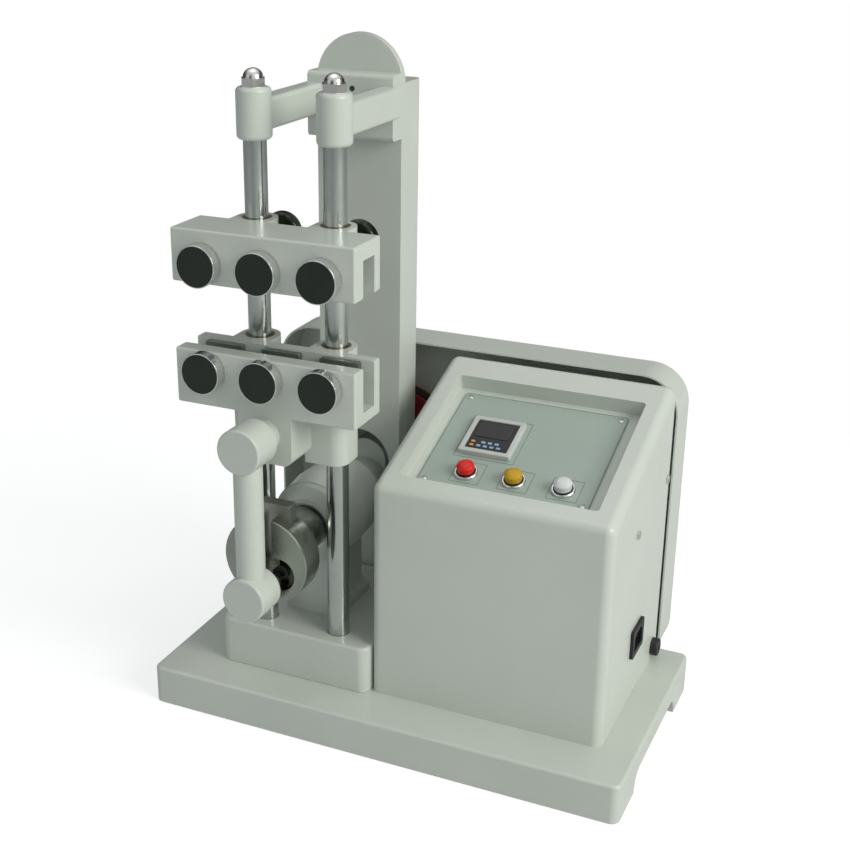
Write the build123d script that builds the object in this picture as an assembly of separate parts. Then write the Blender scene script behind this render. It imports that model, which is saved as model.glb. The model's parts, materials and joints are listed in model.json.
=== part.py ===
from build123d import *
import math
import os

# Flex cracking tester, bench size. Millimetres, +Z up, the operator stands at -Y.
# Origin: centre of the outline on the table. The crank linkage rests at its bottom dead centre.

# Fits shared by all pieces
running_fit = 0.05
seat_fit = 0.02
face_gap = 0.3

# Depth stations, measured back from the front edge of the base
rod_overhang = 46.0
guard_front = 237.0
guard_depth = 42.0
cover_head_height = 2.0
rear_reach = guard_front + guard_depth + cover_head_height
base_front = (rod_overhang - rear_reach) / 2

# Base plate with an arched underside between two feet
base_width = 450.0
base_depth = 237.0
base_height = 37.0
base_corner = 8.0
base_edge = 3.0
front_foot = 50.0
rear_foot = 49.0
arch_height = 18.0
arch_corner = 16.0

# Linkage centre line and crank axis
unit_x = -98.0
crank_z = 177.0
crank_throw = 20.0
rod_centres = 136.0

# Pedestal under the spindle housing and the guide rods
pedestal_width = 151.0
pedestal_front = 40.0
pedestal_height = 45.5
pedestal_corner = 10.0
pedestal_edge = 3.0

# Column: hollow casting with a rounded crown plate and an arched opening
column_half = 41.5
column_front = 185.0
column_depth = 44.5
column_height = 525.0
column_wall = 8.0
column_round = 8.0
crown_hole = 2.5
crown_hole_drop = 6.0
arch_half = 31.0
arch_spring = 201.0

# Rear bearing post cast on the inside of the column's back wall
post_half = 20.5
post_depth = 21.5
post_spring = 196.0

# Guide rods, bracket and cap nuts
guide_radius = 10.0
guide_offset = 37.0
guide_y = 62.0
guide_seat = 30.0
bracket_low = 528.0
bracket_high = 571.0
bracket_cap = 8.0
boss_radius = 15.0
boss_round = 4.0
arm_half = 10.0
arm_low = 534.0
arm_high = 561.0
flange_depth = 19.0
flange_low = 514.0
flange_round = 4.0
stud_radius = 6.0
stud_length = 11.0
nut_across = 19.0
nut_hex = 7.0
nut_dome = 8.0

# Spindle housing: revolved shell on a waisted web
nose_y = 70.0
nose_radius = 28.0
shoulder_y = 77.0
shoulder_radius = 37.0
belly_y = 115.0
belly_radius = 41.0
barrel_y = 152.0
barrel_radius = 39.0
neck_radius = 20.0
neck_start = 160.0
web_half = 18.5
web_foot_half = 27.5
web_foot_height = 8.0
web_barrel_fillet = 12.0
web_foot_fillet = 8.0
web_front = 84.0
web_rear = 150.0
housing_bore = 14.0

# Spindle and its ball bearings
spindle_front_y = 22.0
journal_radius = 12.5
body_radius = 11.0
body_y = 100.0
tail_radius = 8.5
tail_y = 199.0
tail_end_y = 274.0
front_bearing_outer = 23.5
front_bearing_width = 12.0
rear_bearing_outer = 17.5
rear_bearing_width = 10.0

# Crank disc with a T-slot for the throw block, and its hub
disc_radius = 40.0
disc_front = -5.4
disc_thickness = 26.1
disc_edge = 1.0
hub_radius = 20.7
hub_gap = 0.6
flange_front = 10.0
block_half = 20.0
block_depth = 12.0
block_below = 36.0
block_above = 51.0
neck_half = 6.5
neck_above_pin = 12.0
neck_below_pin = 12.0
slot_side_gap = 0.1
pocket_radius = 15.0
pocket_x = 13.3
pocket_drop = 10.5
lock_radius = 4.0
lock_head_radius = 6.5
lock_head_height = 6.0
lock_socket = 3.4
lock_socket_depth = 4.0
lock_slot_gap = 0.3
lock_slot_travel = 11.0

# Connecting rod, its bushes and its pins
rod_back = -14.0
rod_end_radius = 20.0
rod_shank_radius = 12.5
rod_end_round = 2.0
rod_front_wall = 5.0
pin_radius = 8.0
bush_wall = 3.0
pin_boss_radius = 14.0
pin_seat = 12.0

# Grip beams that carry the clamps
beam_half = 84.5
beam_front = 0.0
beam_depth = 48.0
slot_front = 15.0
slot_rear = 36.0
lower_beam_low = 310.0
lower_beam_high = 359.0
lower_slot_floor = 320.5
upper_beam_low = 417.0
upper_beam_high = 462.6
upper_slot_roof = 449.0
beam_edge = 2.0
extension_half = 25.0
extension_depth = 40.0
extension_low = 267.0
extension_round = 8.0
guide_boss_radius = 18.0
guide_boss_low = 258.0
bush_radius = 13.0

# Clamp stations
station_pitch = 55.0
lower_station_z = 341.8
upper_station_z = 434.2
jaw_half = 18.0
jaw_thickness = 6.0
jaw_margin = 1.5
clamp_screw_radius = 6.0
clamp_tip_radius = 4.4
clamp_tip_depth = 3.0
knob_radius = 18.0
knob_thickness = 10.0
knob_stand_off = 1.0
knob_edge = 0.8
face_radius = 17.2
face_depth = 1.5

# Rear lock knobs of the upper beam
lock_z = 440.0
lock_stud_radius = 5.0
lock_pad_length = 3.0
lock_knob_front = 100.0
lock_knob_thickness = 12.0
lock_knob_radius = 18.0
lock_knob_edge = 3.0

# Belt drive in the guard
motor_x = 90.0
motor_z = 100.0
pulley_front = 251.0
pulley_width = 20.0
driven_radius = 78.0
driver_radius = 28.0
groove_depth = 10.0
groove_top_half = 6.0
groove_bottom_half = 3.5
belt_height = 8.0
belt_proud = 1.0
belt_half = 5.9
belt_flank = 7.5
rim_depth = 18.0
web_thickness = 8.0
pulley_hub_radius = 20.0
lightening_radius = 12.0
lightening_circle = 40.0
lightening_count = 5

# Motor inside the control box
motor_radius = 55.0
motor_front = 85.0
motor_rear = 226.0
motor_shield = 12.0
motor_shield_radius = 58.0
motor_foot_half = 45.0
motor_foot_thickness = 10.0
motor_foot_length = 90.0
motor_shaft_radius = 7.0
motor_shaft_seat = 30.0
fin_count = 16
fin_height = 3.0
fin_half = 1.5

# Belt guard: an open-front pan on four spacer posts
guard_left = -211.0
guard_right = 196.0
guard_low = 13.0
guard_high = 310.0
guard_corner = 36.0
guard_wall = 2.0
guard_round = 1.5
guard_post_radius = 6.0
guard_post_low = 60.0
guard_post_high = 283.0
guard_post_right = 170.0

# Control box: sheet shell with a sloped, recessed panel
box_left = -22.0
box_width = 216.0
box_front = 48.0
box_rear = 237.0
box_front_top = 242.0
box_rear_top = 308.0
box_wall = 2.5
box_round = 9.0
shaft_window = 14.0

# Recess and panel plate, u across and v up the slope
recess_u = (19.0, 196.5)
recess_v = (19.0, 164.0)
recess_depth = 15.0
recess_corner = 3.0
panel_u = (28.0, 183.0)
panel_v = (28.0, 156.0)
panel_thickness = 1.5
panel_corner = 3.0
panel_screw_inset = 6.0
panel_screw_radius = 1.5
panel_head_radius = 2.8
panel_head_height = 1.6

# Counter in the panel
counter_u = 75.0
counter_v = 97.4
counter_side = 48.4
counter_body = 44.6
counter_depth = 58.0
counter_bezel = 5.0
counter_face_u = 40.0
counter_face_v = 43.0
counter_face_depth = 1.2
counter_cutout_gap = 0.3

# Push buttons in the panel
button_names = ("red", "yellow", "white")
button_u = (67.5, 111.0, 155.7)
button_v = 50.0
button_ring_radius = 10.5
button_ring_height = 2.5
button_barrel_radius = 8.0
button_barrel_length = 22.0
button_nut_radius = 11.0
button_nut_height = 3.0
button_stem_radius = 6.0
button_stem_length = 9.0
button_cap_radius = 8.0
button_cap_height = 6.0
button_cap_round = 2.0
button_travel_gap = 3.0

# Power inlet, fuse holder and screws on the right side
inlet_y = 145.0
inlet_z = 95.0
inlet_flange_y = 36.0
inlet_flange_z = 28.0
inlet_flange_depth = 3.0
inlet_body_y = 28.0
inlet_body_z = 21.0
inlet_body_depth = 20.0
socket_y = 24.0
socket_z = 16.5
socket_depth = 16.0
blade_height = 4.0
blade_thickness = 2.0
blade_length = 13.0
blade_pitch = 7.0
blade_offset = 2.0
fuse_y = 214.0
fuse_z = 50.0
fuse_cap_radius = 8.5
fuse_cap_height = 7.0
fuse_body_radius = 6.0
fuse_body_length = 28.0
side_screws = ((222.0, 219.0), (125.0, 205.0))
cover_screw_radius = 2.0
cover_head_radius = 3.8
cover_grip = 6.0


# Depth station in the part's frame
def depth(station):
    return base_front + station


# Cylinder along Y between two depth stations
def along_y(x, z, radius, start, end):
    return Pos(x, depth((start + end) / 2), z) * Rot(90, 0, 0) * Cylinder(radius, end - start)


# Upright cylinder at a depth station
def along_z(x, station, radius, low, high):
    return Pos(x, depth(station), (low + high) / 2) * Cylinder(radius, high - low)


# Cylinder along X between two places
def along_x(station, z, radius, start, end):
    return Pos((start + end) / 2, depth(station), z) * Rot(0, 90, 0) * Cylinder(radius, end - start)


# Rectangular block between limits; the Y limits are depth stations
def block(x_low, x_high, start, end, low, high):
    centre = Pos((x_low + x_high) / 2, depth((start + end) / 2), (low + high) / 2)
    return centre * Box(x_high - x_low, end - start, high - low)


# Edges of a shape that run along one axis
def edges_along(shape, axis):
    return shape.edges().filter_by(axis)


# Body turned about the Y axis line at x, z, from points of radius and depth station
def turned_y(x, z, outline):
    face = make_face(Polyline([(radius, depth(station)) for radius, station in outline], close=True))
    return Pos(x, 0, z) * revolve(face, Axis.Y)


base_low, base_top = 0.0, base_height
pedestal_top = base_top + pedestal_height
column_rear = column_front + column_depth
column_top = base_top + column_height
disc_back = disc_front + disc_thickness
hub_end = nose_y - hub_gap
wrist_z = crank_z - crank_throw + rod_centres
crank_pin_z = crank_z - crank_throw
guide_x = [unit_x - guide_offset, unit_x + guide_offset]
station_x = [unit_x + place * station_pitch for place in (-1, 0, 1)]
stations = [(side, place, x, z) for side, z in (("lower", lower_station_z), ("upper", upper_station_z))
            for place, x in zip(("left", "middle", "right"), station_x)]


def make_base_plate():
    plate = block(-base_width / 2, base_width / 2, 0, base_depth, base_low, base_top)
    plate = fillet(edges_along(plate, Axis.Z), base_corner)
    plate = fillet(plate.faces().sort_by(Axis.Z)[-1].edges(), base_edge)
    arch = block(-base_width, base_width, front_foot, base_depth - rear_foot, -arch_height, arch_height)
    arch = fillet(edges_along(arch, Axis.X).group_by(Axis.Z)[-1], arch_corner)
    return plate - arch


def make_pedestal():
    body = block(unit_x - pedestal_width / 2, unit_x + pedestal_width / 2, pedestal_front, column_front,
                 base_top, pedestal_top)
    body = fillet(edges_along(body, Axis.Z).group_by(Axis.Y)[0], pedestal_corner)
    top = body.faces().sort_by(Axis.Z)[-1]
    body = fillet([edge for edge in top.edges() if edge.center().Y < depth(column_front) - 1], pedestal_edge)
    for x in guide_x:
        body -= along_z(x, guide_y, guide_radius, pedestal_top - guide_seat, pedestal_top + 1)
    return body


# Arched outline of given half width and spring line, as a prism between two depth stations
def arched_prism(half, spring, low, start, end):
    prism = block(unit_x - half, unit_x + half, start, end, low, spring)
    return prism + along_y(unit_x, spring, half, start, end)


def make_column():
    shaft = block(unit_x - column_half, unit_x + column_half, column_front, column_rear, base_top, column_top)
    shaft = fillet(edges_along(shaft, Axis.Z).group_by(Axis.Y)[-1], column_round)
    shaft += along_y(unit_x, column_top, column_half, column_front, column_front + column_wall)
    inner = block(unit_x - column_half + column_wall, unit_x + column_half - column_wall,
                  column_front + column_wall, column_rear - column_wall, base_top - 1, column_top - column_wall)
    shaft -= inner
    shaft -= arched_prism(arch_half, arch_spring, pedestal_top, column_front - 1, column_front + column_wall + 1)
    shaft += arched_prism(post_half, post_spring, base_top, column_rear - column_wall - post_depth,
                          column_rear - column_wall / 2)
    shaft -= along_y(unit_x, column_top - crown_hole_drop, crown_hole, column_front - 1,
                     column_front + column_wall)
    post_front = column_rear - column_wall - post_depth
    shaft -= along_y(unit_x, crank_z, rear_bearing_outer + seat_fit, post_front - 1,
                     post_front + rear_bearing_width + 1)
    shaft -= along_y(unit_x, crank_z, tail_radius + 1, post_front, column_rear + 1)
    for z in (guard_post_low, guard_post_high):
        shaft -= along_y(unit_x, z, cover_screw_radius + seat_fit, column_rear - cover_grip, column_rear + 1)
    return shaft


def make_top_bracket():
    flange_front = column_front - flange_depth
    bracket = block(unit_x - column_half, unit_x + column_half, flange_front, column_front,
                    flange_low, bracket_high)
    bracket = fillet(edges_along(bracket, Axis.X).group_by(Axis.Y)[0], flange_round)
    for x in guide_x:
        arm = block(x - arm_half, x + arm_half, guide_y, flange_front + flange_round, arm_low, arm_high)
        bracket += fillet(edges_along(arm, Axis.Y), flange_round)
        boss = along_z(x, guide_y, boss_radius, bracket_low, bracket_high)
        bracket += fillet(boss.edges().filter_by(GeomType.CIRCLE), boss_round)
    for x in guide_x:
        bracket -= along_z(x, guide_y, guide_radius + seat_fit, bracket_low - 1, bracket_high - bracket_cap)
        bracket -= along_z(x, guide_y, stud_radius + seat_fit, bracket_low, bracket_high + 1)
    return bracket


def make_guide_rods():
    rods = []
    for x in guide_x:
        rod = along_z(x, guide_y, guide_radius - seat_fit, pedestal_top - guide_seat, bracket_high - bracket_cap)
        rods.append(rod + along_z(x, guide_y, stud_radius, bracket_high - bracket_cap - 1,
                                  bracket_high + stud_length))
    return Compound(rods)


def make_acorn_nuts():
    nuts = []
    for x in guide_x:
        hexagon = extrude(RegularPolygon(nut_across / 2, 6, major_radius=False), nut_hex)
        dome_radius = nut_across / 2 - 1
        dome = Pos(0, 0, nut_hex) * scale(Sphere(dome_radius), (1, 1, nut_dome / dome_radius))
        nut = hexagon + (dome - Pos(0, 0, -nut_dome) * Box(nut_across * 2, nut_across * 2, 2 * nut_dome))
        bore = Pos(0, 0, (stud_length + 1) / 2) * Cylinder(stud_radius + seat_fit, stud_length + 1)
        nuts.append(Pos(x, depth(guide_y), bracket_high) * (nut - bore))
    return Compound(nuts)


def make_spindle_housing():
    end = column_rear - column_wall - post_depth - face_gap
    shell = turned_y(unit_x, crank_z, [
        (0, nose_y), (nose_radius, nose_y), (shoulder_radius, shoulder_y), (belly_radius, belly_y),
        (barrel_radius, barrel_y), (neck_radius, neck_start), (neck_radius, end), (0, end)])
    foot_drop = crank_z - pedestal_top
    section = Circle(barrel_radius)
    section += Pos(0, -foot_drop / 2) * Rectangle(2 * web_half, foot_drop)
    section += Pos(0, web_foot_height / 2 - foot_drop) * Rectangle(2 * web_foot_half, web_foot_height)
    waist = [point for point in section.vertices() if abs(abs(point.X) - web_half) < seat_fit]
    section = fillet([point for point in waist if point.Y > -barrel_radius], web_barrel_fillet)
    waist = [point for point in section.vertices() if abs(abs(point.X) - web_half) < seat_fit]
    foot_line = web_foot_height - foot_drop
    section = fillet([point for point in waist if abs(point.Y - foot_line) < seat_fit], web_foot_fillet)
    web = extrude(Plane.XZ * section, web_rear - web_front)
    shell += Pos(unit_x, depth(web_rear), crank_z) * web
    shell -= along_y(unit_x, crank_z, front_bearing_outer + seat_fit, nose_y - 1, nose_y + front_bearing_width + 2)
    return shell - along_y(unit_x, crank_z, housing_bore, nose_y, end + 1)


# Ball bearing along Y as one solid: two rings joined by the cage, with a shallow ball track on each face
def ball_bearing(inner, outer, start, width):
    ring = along_y(unit_x, crank_z, outer, start, start + width)
    ring -= along_y(unit_x, crank_z, inner, start - 1, start + width + 1)
    middle = (inner + outer) / 2
    track = (outer - inner) / 6
    for front, back in ((start - 1, start + 1), (start + width - 1, start + width + 1)):
        groove = along_y(unit_x, crank_z, middle + track, front, back)
        ring -= groove - along_y(unit_x, crank_z, middle - track, front - 1, back + 1)
    return ring


def make_spindle_bearings():
    front = ball_bearing(journal_radius + running_fit, front_bearing_outer, nose_y + 1, front_bearing_width)
    post_front = column_rear - column_wall - post_depth
    rear = ball_bearing(tail_radius + running_fit, rear_bearing_outer, post_front + 1, rear_bearing_width)
    return Compound([front, rear])


def make_spindle():
    return turned_y(unit_x, crank_z, [
        (0, spindle_front_y), (journal_radius, spindle_front_y), (journal_radius, body_y), (body_radius, body_y),
        (body_radius, tail_y), (tail_radius, tail_y), (tail_radius, tail_end_y), (0, tail_end_y)])


def make_crank_disc():
    disc = turned_y(unit_x, crank_z, [
        (0, disc_front), (disc_radius - disc_edge, disc_front), (disc_radius, disc_front + disc_edge),
        (disc_radius, disc_back - disc_edge), (disc_radius - disc_edge, disc_back), (hub_radius, disc_back),
        (hub_radius, hub_end - disc_edge), (hub_radius - disc_edge, hub_end), (0, hub_end)])
    seat = disc_front + flange_front
    wide = block_half + slot_side_gap
    narrow = neck_half + slot_side_gap
    low, high = crank_z - disc_radius - 1, crank_z + disc_radius + 1
    disc -= block(unit_x - wide, unit_x + wide, seat - slot_side_gap, seat + block_depth + slot_side_gap, low, high)
    disc -= block(unit_x - narrow, unit_x + narrow, disc_front - 1, seat, low, high)
    disc -= along_y(unit_x + pocket_x, crank_z - pocket_drop, pocket_radius, disc_front - 1, seat)
    disc -= along_y(unit_x + pocket_x, crank_z - pocket_drop, lock_radius + seat_fit, seat, disc_back - 1)
    return disc - along_y(unit_x, crank_z, journal_radius + seat_fit, spindle_front_y - 1, hub_end + 1)


def make_crank_slide():
    seat = disc_front + flange_front
    slide = block(unit_x - block_half, unit_x + block_half, seat, seat + block_depth,
                  crank_z - block_below, crank_z + block_above)
    slide = fillet(edges_along(slide, Axis.Y).group_by(Axis.Z)[-1], disc_edge * 2)
    slide += block(unit_x - neck_half, unit_x + neck_half, disc_front, seat,
                   crank_pin_z - neck_below_pin, crank_pin_z + neck_above_pin)
    slot_radius = lock_radius + lock_slot_gap
    slot = Plane.XZ * SlotOverall(2 * (slot_radius + lock_slot_travel), 2 * slot_radius, rotation=90)
    slot = extrude(slot, block_depth * 2, both=True)
    return slide - Pos(unit_x + pocket_x, depth(seat), crank_z - pocket_drop) * slot


def make_crank_lock_screw():
    seat = disc_front + flange_front
    x, z = unit_x + pocket_x, crank_z - pocket_drop
    head = along_y(x, z, lock_head_radius, seat - lock_head_height, seat - seat_fit)
    head = fillet(head.edges().filter_by(GeomType.CIRCLE).group_by(Axis.Y)[0], 1.0)
    socket = extrude(Plane.XZ * RegularPolygon(lock_socket, 6), lock_socket_depth, both=True)
    head -= Pos(x, depth(seat - lock_head_height), z) * socket
    return head + along_y(x, z, lock_radius, seat - 1, disc_back - 2)


# Round rod end, closed in front, with the bush bore open at the back
def rod_end(z):
    end = along_y(unit_x, z, rod_end_radius, -rod_overhang, rod_back)
    return fillet(end.edges().filter_by(GeomType.CIRCLE), rod_end_round)


def make_connecting_rod():
    middle = (rod_back - rod_overhang) / 2
    shank = along_z(unit_x, middle, rod_shank_radius, crank_pin_z, wrist_z)
    rod = shank + rod_end(crank_pin_z) + rod_end(wrist_z)
    for z in (crank_pin_z, wrist_z):
        rod -= along_y(unit_x, z, pin_radius + bush_wall, rod_front_wall - rod_overhang, rod_back + 1)
    return rod


def make_rod_bushes():
    bushes = []
    for z in (crank_pin_z, wrist_z):
        bush = along_y(unit_x, z, pin_radius + bush_wall - seat_fit, rod_front_wall - rod_overhang, rod_back)
        bushes.append(bush - along_y(unit_x, z, pin_radius + running_fit, -rod_overhang, rod_back + 1))
    return Compound(bushes)


def make_crank_pin():
    pin = along_y(unit_x, crank_pin_z, pin_radius, rod_front_wall - rod_overhang + 1, disc_front - face_gap)
    return pin + along_y(unit_x, crank_pin_z, pin_radius + bush_wall, rod_back + seat_fit, disc_front - face_gap)


def make_wrist_pin():
    return along_y(unit_x, wrist_z, pin_radius, rod_front_wall - rod_overhang + 1, beam_front + pin_seat)


# Grip beam: two walls with a slot between them, and a boss round each guide rod
def grip_beam(low, high, slot_low, slot_high, boss_low):
    beam = block(unit_x - beam_half, unit_x + beam_half, beam_front, beam_front + beam_depth, low, high)
    beam = fillet(beam.edges(), beam_edge)
    for x in guide_x:
        beam += along_z(x, guide_y, guide_boss_radius, boss_low, high)
        beam += block(x - guide_boss_radius, x + guide_boss_radius, slot_rear, guide_y, boss_low, high)
    beam -= block(unit_x - beam_half - 1, unit_x + beam_half + 1, slot_front, slot_rear, slot_low, slot_high)
    for x in guide_x:
        beam -= along_z(x, guide_y, bush_radius + seat_fit, boss_low - 1, high + 1)
    return beam


def cut_station_bores(beam, z):
    for x in station_x:
        beam -= along_y(x, z, clamp_screw_radius + running_fit, beam_front - 1, slot_front + 1)
    return beam


def make_crosshead():
    head = grip_beam(lower_beam_low, lower_beam_high, lower_slot_floor, lower_beam_high + 1, guide_boss_low)
    drop = block(unit_x - extension_half, unit_x + extension_half, beam_front, beam_front + extension_depth,
                 extension_low, lower_beam_low + beam_edge + 1)
    drop = fillet(edges_along(drop, Axis.Y).group_by(Axis.Z)[0], extension_round)
    head += drop
    head += along_y(unit_x, wrist_z, pin_boss_radius, rod_back + face_gap, beam_front + 1)
    head -= along_y(unit_x, wrist_z, pin_radius + seat_fit, rod_back - 1, beam_front + pin_seat + seat_fit)
    return cut_station_bores(head, lower_station_z)


def make_upper_beam():
    beam = grip_beam(upper_beam_low, upper_beam_high, upper_beam_low - 1, upper_slot_roof, upper_beam_low)
    for x in guide_x:
        beam -= along_y(x, lock_z, lock_stud_radius + running_fit, guide_y, guide_y + guide_boss_radius + 1)
    return cut_station_bores(beam, upper_station_z)


def guide_bush(x, low, high):
    bush = along_z(x, guide_y, bush_radius, low, high)
    return bush - along_z(x, guide_y, guide_radius + running_fit - seat_fit, low - 1, high + 1)


def make_crosshead_bushes():
    return Compound([guide_bush(x, guide_boss_low, lower_beam_high) for x in guide_x])


def make_upper_bushes():
    bushes = []
    for x in guide_x:
        bush = guide_bush(x, upper_beam_low, upper_beam_high)
        bushes.append(bush - along_y(x, lock_z, lock_stud_radius + running_fit, guide_y, guide_y + bush_radius + 1))
    return Compound(bushes)


def make_jaw(side, x, z):
    rear = slot_rear - face_gap
    if side == "lower":
        low, high = lower_slot_floor + jaw_margin, lower_beam_high - jaw_margin
    else:
        low, high = upper_beam_low + jaw_margin, upper_slot_roof - jaw_margin
    jaw = block(x - jaw_half, x + jaw_half, rear - jaw_thickness, rear, low, high)
    jaw = chamfer(edges_along(jaw, Axis.Y), 1.0)
    return jaw - along_y(x, z, clamp_tip_radius + running_fit, rear - jaw_thickness - 1,
                         rear - jaw_thickness + clamp_tip_depth + seat_fit * 5)


def make_clamp_screw(x, z):
    jaw_front = slot_rear - face_gap - jaw_thickness
    knob_back = beam_front - knob_stand_off
    knob = along_y(x, z, knob_radius, knob_back - knob_thickness, knob_back)
    knob = fillet(knob.edges().filter_by(GeomType.CIRCLE), knob_edge / 2)
    knob -= along_y(x, z, face_radius, knob_back - knob_thickness - 1, knob_back - knob_thickness + face_depth)
    screw = along_y(x, z, clamp_screw_radius, knob_back - 1, jaw_front - face_gap)
    tip = along_y(x, z, clamp_tip_radius, knob_back, jaw_front + clamp_tip_depth)
    return knob + screw + tip


def make_knob_face(x, z):
    front = beam_front - knob_stand_off - knob_thickness
    face = along_y(x, z, face_radius - seat_fit, front, front + face_depth)
    return fillet(face.edges().filter_by(GeomType.CIRCLE).group_by(Axis.Y)[0], knob_edge / 2)


def make_lock_pad(x):
    start = guide_y + guide_radius + face_gap
    return along_y(x, lock_z, lock_stud_radius, start, start + lock_pad_length)


def make_lock_knob(x):
    start = guide_y + guide_radius + face_gap + lock_pad_length + seat_fit
    knob = along_y(x, lock_z, lock_knob_radius, lock_knob_front, lock_knob_front + lock_knob_thickness)
    knob = fillet(knob.edges().filter_by(GeomType.CIRCLE), lock_knob_edge)
    return knob + along_y(x, lock_z, lock_stud_radius, start, lock_knob_front + 1)


# Grooved pulley turned about Y: rim, web and hub
def v_pulley(x, z, radius, rim, hub, bore):
    middle = pulley_front + pulley_width / 2
    start, end = pulley_front, pulley_front + pulley_width
    web_start, web_end = middle - web_thickness / 2, middle + web_thickness / 2
    pulley = turned_y(x, z, [
        (bore, start), (hub, start), (hub, web_start), (radius - rim, web_start), (radius - rim, start),
        (radius, start), (radius, middle - groove_top_half), (radius - groove_depth, middle - groove_bottom_half),
        (radius - groove_depth, middle + groove_bottom_half), (radius, middle + groove_top_half), (radius, end),
        (radius - rim, end), (radius - rim, web_end), (hub, web_end), (hub, end), (bore, end)])
    return pulley


def make_driven_pulley():
    pulley = v_pulley(unit_x, crank_z, driven_radius, rim_depth, pulley_hub_radius, tail_radius + seat_fit)
    for turn in range(lightening_count):
        angle = 2 * math.pi * turn / lightening_count
        pulley -= along_y(unit_x + lightening_circle * math.cos(angle), crank_z + lightening_circle * math.sin(angle),
                          lightening_radius, pulley_front, pulley_front + pulley_width)
    return pulley


def make_motor_pulley():
    start, end = pulley_front, pulley_front + pulley_width
    middle = (start + end) / 2
    bore = motor_shaft_radius + seat_fit
    return turned_y(motor_x, motor_z, [
        (bore, start), (driver_radius, start), (driver_radius, middle - groove_top_half),
        (driver_radius - groove_depth, middle - groove_bottom_half),
        (driver_radius - groove_depth, middle + groove_bottom_half), (driver_radius, middle + groove_top_half),
        (driver_radius, end), (bore, end)])


# Closed loop round both pulleys at a given height above the grooves' reference circles
def belt_loop(rise, width):
    circles = [Pos(unit_x, crank_z) * Circle(driven_radius + rise), Pos(motor_x, motor_z) * Circle(driver_radius + rise)]
    edges = [edge for circle in circles for edge in circle.edges()]
    loop = extrude(Plane.XZ * make_hull(edges), width / 2, both=True)
    return Pos(0, depth(pulley_front + pulley_width / 2), 0) * loop


def make_drive_belt():
    belt = belt_loop(belt_proud, 2 * belt_half) - belt_loop(belt_proud - belt_height, 4 * belt_half)
    slant = (groove_top_half - groove_bottom_half) / groove_depth
    for side in (0, -1):
        face = belt.faces().sort_by(Axis.Y)[side]
        belt = chamfer(face.inner_wires()[0].edges(), belt_flank, belt_flank * slant, reference=face)
    return belt


def make_motor():
    motor = along_y(motor_x, motor_z, motor_radius, motor_front, motor_rear)
    for turn in range(fin_count):
        fin = block(-fin_half, fin_half, motor_front + motor_shield, motor_rear - motor_shield,
                    0, motor_radius + fin_height)
        motor += Pos(motor_x, 0, motor_z) * Rot(0, 360 * (turn + 0.5) / fin_count, 0) * fin
    for start in (motor_front, motor_rear - motor_shield):
        motor += along_y(motor_x, motor_z, motor_shield_radius, start, start + motor_shield)
    middle = (motor_front + motor_rear) / 2
    front, rear = middle - motor_foot_length / 2, middle + motor_foot_length / 2
    motor += block(motor_x - motor_foot_half, motor_x + motor_foot_half, front, rear,
                   base_top, base_top + motor_foot_thickness)
    for side in (-1, 1):
        x = motor_x + side * (motor_foot_half - motor_foot_thickness)
        motor += block(x - motor_foot_thickness / 2, x + motor_foot_thickness / 2, front, rear, base_top, motor_z)
    return motor - along_y(motor_x, motor_z, motor_shaft_radius + running_fit, motor_rear - motor_shaft_seat,
                           motor_rear + 1)


def make_motor_shaft():
    return along_y(motor_x, motor_z, motor_shaft_radius, motor_rear - motor_shaft_seat + face_gap, tail_end_y)


# Rounded pan outline between two depth stations
def pan(inset, start, end):
    width, height = guard_right - guard_left, guard_high - guard_low
    face = RectangleRounded(width - 2 * inset, height - 2 * inset, guard_corner - inset)
    body = extrude(Plane.XZ * face, (end - start) / 2, both=True)
    return Pos((guard_left + guard_right) / 2, depth((start + end) / 2), (guard_low + guard_high) / 2) * body


guard_posts = [(x, z, seat) for x, seat in ((unit_x, column_rear), (guard_post_right, box_rear))
               for z in (guard_post_low, guard_post_high)]


def make_belt_guard():
    rear = guard_front + guard_depth
    guard = pan(0, guard_front, rear)
    guard = fillet(guard.faces().sort_by(Axis.Y)[-1].edges(), guard_round)
    guard -= pan(guard_wall, guard_front - 1, rear - guard_wall)
    for x, z, seat in guard_posts:
        guard += along_y(x, z, guard_post_radius, seat, rear - guard_wall / 2)
    for x, z, seat in guard_posts:
        guard -= along_y(x, z, cover_screw_radius + seat_fit, seat - 1, rear + 1)
    return guard


# Frame of the sloped panel: x across, y up the slope, z outward, origin at the left end of the front edge
slope_angle = math.degrees(math.atan2(box_rear_top - box_front_top, box_rear - box_front))
slope = Plane(origin=(box_left, depth(box_front), box_front_top), x_dir=(1, 0, 0),
              z_dir=(0, -math.sin(math.radians(slope_angle)), math.cos(math.radians(slope_angle))))


def slope_block(u, v, low, high, corner=0.0):
    face = Rectangle(u[1] - u[0], v[1] - v[0])
    if corner:
        face = fillet(face.vertices(), corner)
    body = extrude(face, high - low)
    return slope * Pos((u[0] + u[1]) / 2, (v[0] + v[1]) / 2, low) * body


def slope_cylinder(u, v, radius, low, high):
    return slope * Pos(u, v, (low + high) / 2) * Cylinder(radius, high - low)


# Prism of the box's side outline, drawn in by the sheet's wall for the hollow
def box_form(inset, bottom):
    rise = inset / math.cos(math.radians(slope_angle))
    slant = (box_rear_top - box_front_top) / (box_rear - box_front)
    front, rear = box_front + inset, box_rear - inset
    outline = [(depth(front), bottom), (depth(rear), bottom),
               (depth(rear), box_rear_top - rise - slant * inset),
               (depth(front), box_front_top - rise + slant * inset)]
    side = extrude(Plane.YZ * make_face(Polyline(outline, close=True)), box_width - 2 * inset)
    body = Pos(box_left + inset, 0, 0) * side
    return fillet([edge for edge in body.edges() if edge.center().Z > bottom + 1], box_round - inset)


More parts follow.
